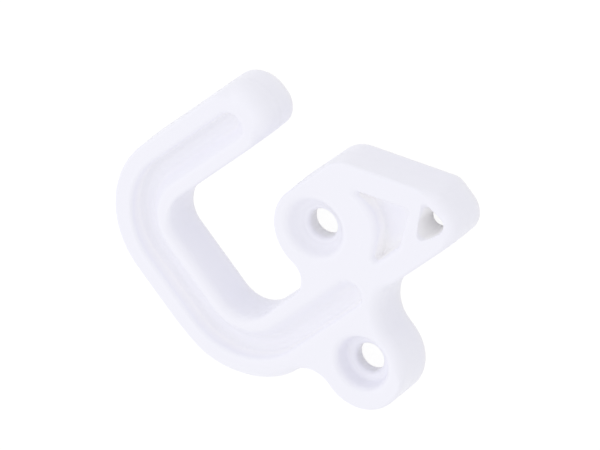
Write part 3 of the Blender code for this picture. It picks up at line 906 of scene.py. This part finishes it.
def white_and_painted_light(nodes, links, place):
    """The plastic's colour: two close whites in clouds, with painted light that makes it paler in deep
    hollows.
    """
    tint = nodes.new("ShaderNodeMix")
    tint.data_type = "RGBA"
    tint.inputs["A"].default_value = (*WHITE, 1.0)
    tint.inputs["B"].default_value = (*WHITE_OTHER, 1.0)
    links.new(noise(nodes, links, place, TINT_SCALE, TINT_DETAIL), tint.inputs["Factor"])
    # Painted light: where the Ambient Occlusion node finds walls close all round, the colour is mixed
    # towards the paler white, so the bores and the funnel look lit.
    open_space = nodes.new("ShaderNodeAmbientOcclusion")
    open_space.samples = PAINTED_LIGHT_SAMPLES
    open_space.inputs["Distance"].default_value = PAINTED_LIGHT_REACH
    painted_light_share = new_range(nodes, links, open_space.outputs["AO"], PAINTED_LIGHT_OPENNESS, (0.0, 1.0))
    painted_light_lift = nodes.new("ShaderNodeMix")
    painted_light_lift.data_type = "RGBA"
    painted_light_lift.inputs["B"].default_value = (*HOLLOW_PAINTED_LIGHT, 1.0)
    links.new(tint.outputs["Result"], painted_light_lift.inputs["A"])
    links.new(painted_light_share, painted_light_lift.inputs["Factor"])
    return painted_light_lift.outputs["Result"]


print("white", WHITE, "to", WHITE_OTHER, "and", HOLLOW_PAINTED_LIGHT, "in the hollows")

# %% The gloss and the skin
GLOSS_RANGE = (0.28, 0.42)
GLOSS_SCALE = 140.0
GLOSS_DETAIL = 4.0
NOISE_SPREAD = (0.3, 0.7)
WAVE_SCALE = 210.0
WAVE_DETAIL = 1.0
WAVE_STRENGTH = 0.5
WAVE_HEIGHT = 0.04 * MM
GRAIN_SCALE = 2600.0
GRAIN_DETAIL = 2.0
GRAIN_STRENGTH = 0.25
GRAIN_HEIGHT = 0.012 * MM


def gloss_roughness(nodes, links, place):
    """The roughness of the skin, duller in patches."""
    patches = noise(nodes, links, place, GLOSS_SCALE, GLOSS_DETAIL)
    return new_range(nodes, links, patches, NOISE_SPREAD, GLOSS_RANGE)


def skin_normal(nodes, links, place):
    """The direction of the skin, with fine grain over shallow waves."""
    waves = noise(nodes, links, place, WAVE_SCALE, WAVE_DETAIL)
    grain = noise(nodes, links, place, GRAIN_SCALE, GRAIN_DETAIL)
    slow = bump(nodes, links, waves, WAVE_STRENGTH, WAVE_HEIGHT)
    fine = bump(nodes, links, grain, GRAIN_STRENGTH, GRAIN_HEIGHT)
    links.new(slow.outputs["Normal"], fine.inputs["Normal"])
    return fine.outputs["Normal"]


print("roughness from", GLOSS_RANGE[0], "to", GLOSS_RANGE[1])

# %% White plastic on the moulding
PLASTIC_IOR = 1.48


def plastic_material():
    """The cool white plastic of the moulding."""
    material = bpy.data.materials.new("white_plastic")
    material.use_nodes = True
    nodes = material.node_tree.nodes
    links = material.node_tree.links
    place = nodes.new("ShaderNodeTexCoord")
    shader = nodes["Principled BSDF"]
    shader.inputs["Metallic"].default_value = 0.0
    shader.inputs["IOR"].default_value = PLASTIC_IOR
    links.new(white_and_painted_light(nodes, links, place), shader.inputs["Base Color"])
    links.new(gloss_roughness(nodes, links, place), shader.inputs["Roughness"])
    links.new(skin_normal(nodes, links, place), shader.inputs["Normal"])
    return material


moulding.data.materials.append(plastic_material())
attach(moulding, "root")
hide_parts(NODE)
print("plastic on", moulding.name)

# %% [markdown]
# ## Floor
#
# The stopper lies flat on its back face on a plain pale floor, a hair below it. The floor
# is a matte white that throws light back up at the piece. Where it is seen, directly or
# in a reflection, it glows by itself and takes only a small share of the light. That
# gives the clean white of a product picture, and the soft shadow round the piece still
# shows. The Light Path node tells which rays see it. The room needs the same answer, so
# a helper gives it to both.

# %% The rays that see the background
def background_rays(nodes, links):
    """A socket that is 1 on rays that show a surface: straight, reflected or through glass."""
    path = nodes.new("ShaderNodeLightPath")
    result = path.outputs["Is Camera Ray"]
    for kind in ("Is Glossy Ray", "Is Transmission Ray"):
        either = nodes.new("ShaderNodeMath")
        either.operation = "MAXIMUM"
        links.new(result, either.inputs[0])
        links.new(path.outputs[kind], either.inputs[1])
        result = either.outputs["Value"]
    return result


print("background rays: camera, glossy and transmission")

# %% The floor's white
FLOOR_WHITE = (0.9, 0.9, 0.9, 1.0)
FLOOR_GLOW = 0.93
FLOOR_SHARE = 0.13


def floor_material():
    """A matte white floor that looks nearly white where it is seen and keeps a soft shadow."""
    material = bpy.data.materials.new("floor_white")
    material.use_nodes = True
    nodes = material.node_tree.nodes
    links = material.node_tree.links
    nodes.remove(nodes["Principled BSDF"])
    output = nodes["Material Output"]
    matte = nodes.new("ShaderNodeBsdfDiffuse")
    matte.inputs["Color"].default_value = FLOOR_WHITE
    faint = nodes.new("ShaderNodeBsdfDiffuse")
    faint.inputs["Color"].default_value = (FLOOR_SHARE, FLOOR_SHARE, FLOOR_SHARE, 1.0)
    glow = nodes.new("ShaderNodeEmission")
    glow.inputs["Strength"].default_value = FLOOR_GLOW
    seen = nodes.new("ShaderNodeAddShader")
    links.new(faint.outputs["BSDF"], seen.inputs[0])
    links.new(glow.outputs["Emission"], seen.inputs[1])
    mix = nodes.new("ShaderNodeMixShader")
    links.new(background_rays(nodes, links), mix.inputs["Fac"])
    links.new(matte.outputs["BSDF"], mix.inputs[1])
    links.new(seen.outputs["Shader"], mix.inputs[2])
    links.new(mix.outputs["Shader"], output.inputs["Surface"])
    return material


print("floor white", FLOOR_WHITE[0], "with a glow of", FLOOR_GLOW)

# %% The floor
FLOOR_SIZE = 6.0
FLOOR_GAP = 0.02 * MM

floor_mesh = bpy.data.meshes.new("floor")
floor_shape = bmesh.new()
bmesh.ops.create_grid(floor_shape, x_segments=1, y_segments=1, size=FLOOR_SIZE / 2)
floor_shape.to_mesh(floor_mesh)
floor_shape.free()
floor = bpy.data.objects.new("floor", floor_mesh)
bpy.context.scene.collection.objects.link(floor)
floor.location = (0.0, 0.0, low.z - FLOOR_GAP)
floor.data.materials.append(floor_material())
floor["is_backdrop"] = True
print("floor at", floor.location.z)

# %% [markdown]
# ## Light
#
# The picture is lit as small white goods are: a white room all round, which keeps even
# the walls that face away bright, and one large soft lamp on the side of the upper arm
# and of the hook's back. The room is a touch dimmer on the side that the arms point to.
# So the walls that look along the arms towards the head are a shade darker, and those
# that look away from the upper arm are the darkest.
#
# A plastic as white as this throws light to and fro in its hollows many times before it
# dies away, so the light may bounce more often than a scene starts with.

# %% The room
ROOM_LIGHT = 0.94
DIM_SIDE = 0.91
DIM_FROM = 0.2
DIM_TO = 1.0
WHITE_LIGHT = (1.0, 1.0, 1.0, 1.0)


def room_world():
    """A white room, a little dimmer on one side, whose walls are seen as plain white."""
    world = bpy.data.worlds.new("white_room")
    world.use_nodes = True
    nodes = world.node_tree.nodes
    links = world.node_tree.links
    room = nodes["Background"]
    room.inputs["Color"].default_value = WHITE_LIGHT
    place = nodes.new("ShaderNodeTexCoord")
    split = nodes.new("ShaderNodeSeparateXYZ")
    links.new(place.outputs["Generated"], split.inputs["Vector"])
    strengths = (ROOM_LIGHT, ROOM_LIGHT * DIM_SIDE)
    dim = new_range(nodes, links, split.outputs["X"], (DIM_FROM, DIM_TO), strengths)
    links.new(dim, room.inputs["Strength"])
    white = nodes.new("ShaderNodeBackground")
    white.inputs["Color"].default_value = WHITE_LIGHT
    white.inputs["Strength"].default_value = 1.0
    mix = nodes.new("ShaderNodeMixShader")
    links.new(background_rays(nodes, links), mix.inputs["Fac"])
    links.new(room.outputs["Background"], mix.inputs[1])
    links.new(white.outputs["Background"], mix.inputs[2])
    links.new(mix.outputs["Shader"], nodes["World Output"].inputs["Surface"])
    return world


bpy.context.scene.world = room_world()
print("room light", ROOM_LIGHT, "falling to", round(ROOM_LIGHT * DIM_SIDE, 3))

# %% The lamp
KEY_WAY = Vector((-0.5, 0.7, 0.9))
KEY_DISTANCE = 0.9
KEY_SIZE = 0.7
KEY_POWER = 0.6
LIGHT_BOUNCES = 12


def soft_lamp(name, way, distance, size, power):
    """A square area lamp that looks at the piece from a direction."""
    data = bpy.data.lights.new(name, "AREA")
    data.shape = "SQUARE"
    data.size = size
    data.energy = power
    lamp = bpy.data.objects.new(name, data)
    bpy.context.scene.collection.objects.link(lamp)
    lamp.location = way.normalized() * distance
    lamp.rotation_euler = way.to_track_quat("Z", "Y").to_euler()
    return lamp


bpy.context.scene.cycles.diffuse_bounces = LIGHT_BOUNCES
soft_lamp("key_lamp", KEY_WAY, KEY_DISTANCE, KEY_SIZE, KEY_POWER)

# %% [markdown]
# ## Camera
#
# The photograph was taken with a long lens, so that parallel edges stay parallel. The
# camera looks at the face from the side of the head, turned by about forty degrees about
# the line across the arms and raised by two, and it is rolled so that the arms climb to
# the right. The boss hole's centre is pinned to its pixel in the picture, and one pixel
# is a little under a fifth of a millimetre on the piece.

# %% The camera's directions
TURN = math.radians(39.5)
RAISE = math.radians(2.3)
ROLL = math.radians(35.85)


def camera_ways():
    """The directions to the right of the picture, to its top, and back towards the camera."""
    back = Vector((math.sin(TURN) * math.cos(RAISE), math.sin(RAISE), math.cos(TURN) * math.cos(RAISE)))
    level = Vector((0.0, 1.0, 0.0)).cross(back).normalized()
    upright = back.cross(level)
    right = level * math.cos(ROLL) - upright * math.sin(ROLL)
    up = level * math.sin(ROLL) + upright * math.cos(ROLL)
    return right, up, back


print("the camera looks along", tuple(round(-value, 3) for value in camera_ways()[2]))

# %% The camera
MM_PER_PIXEL = 0.175 * MM
PICTURE_WIDTH = 600
PICTURE_HEIGHT = 450
BOSS_PIXEL = (326.6, 220.8)
CAMERA_DISTANCE = 2.4
SENSOR_WIDTH = 36.0
NEAREST_SEEN = 0.01
FARTHEST_SEEN = 50.0


def make_camera():
    """The camera of the photograph."""
    right, up, back = camera_ways()
    boss = Vector((-middle_x, -middle_y, low.z + THICKNESS / 2))
    to_right = (BOSS_PIXEL[0] - PICTURE_WIDTH / 2) * MM_PER_PIXEL
    to_top = (PICTURE_HEIGHT / 2 - BOSS_PIXEL[1]) * MM_PER_PIXEL
    aim = boss - right * to_right - up * to_top
    data = bpy.data.cameras.new("camera")
    data.sensor_fit = "HORIZONTAL"
    data.sensor_width = SENSOR_WIDTH
    data.lens = SENSOR_WIDTH * CAMERA_DISTANCE / (PICTURE_WIDTH * MM_PER_PIXEL)
    data.clip_start = NEAREST_SEEN
    data.clip_end = FARTHEST_SEEN
    camera = bpy.data.objects.new("camera", data)
    bpy.context.scene.collection.objects.link(camera)
    place = Matrix((
        (right.x, up.x, back.x, 0.0),
        (right.y, up.y, back.y, 0.0),
        (right.z, up.z, back.z, 0.0),
        (0.0, 0.0, 0.0, 1.0),
    ))
    camera.matrix_world = Matrix.Translation(aim + back * CAMERA_DISTANCE) @ place
    return camera


bpy.context.scene.camera = make_camera()
bpy.context.scene.view_settings.view_transform = "Standard"
camera_place = bpy.context.scene.camera.matrix_world.translation
print("camera at", tuple(round(value, 3) for value in camera_place))

# %% Compare the boxes and finish
new_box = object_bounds()
differences = [abs(a - b) for old, new in zip(cad_box, new_box) for a, b in zip(old, new)]
print("boxes differ by at most", max(differences))
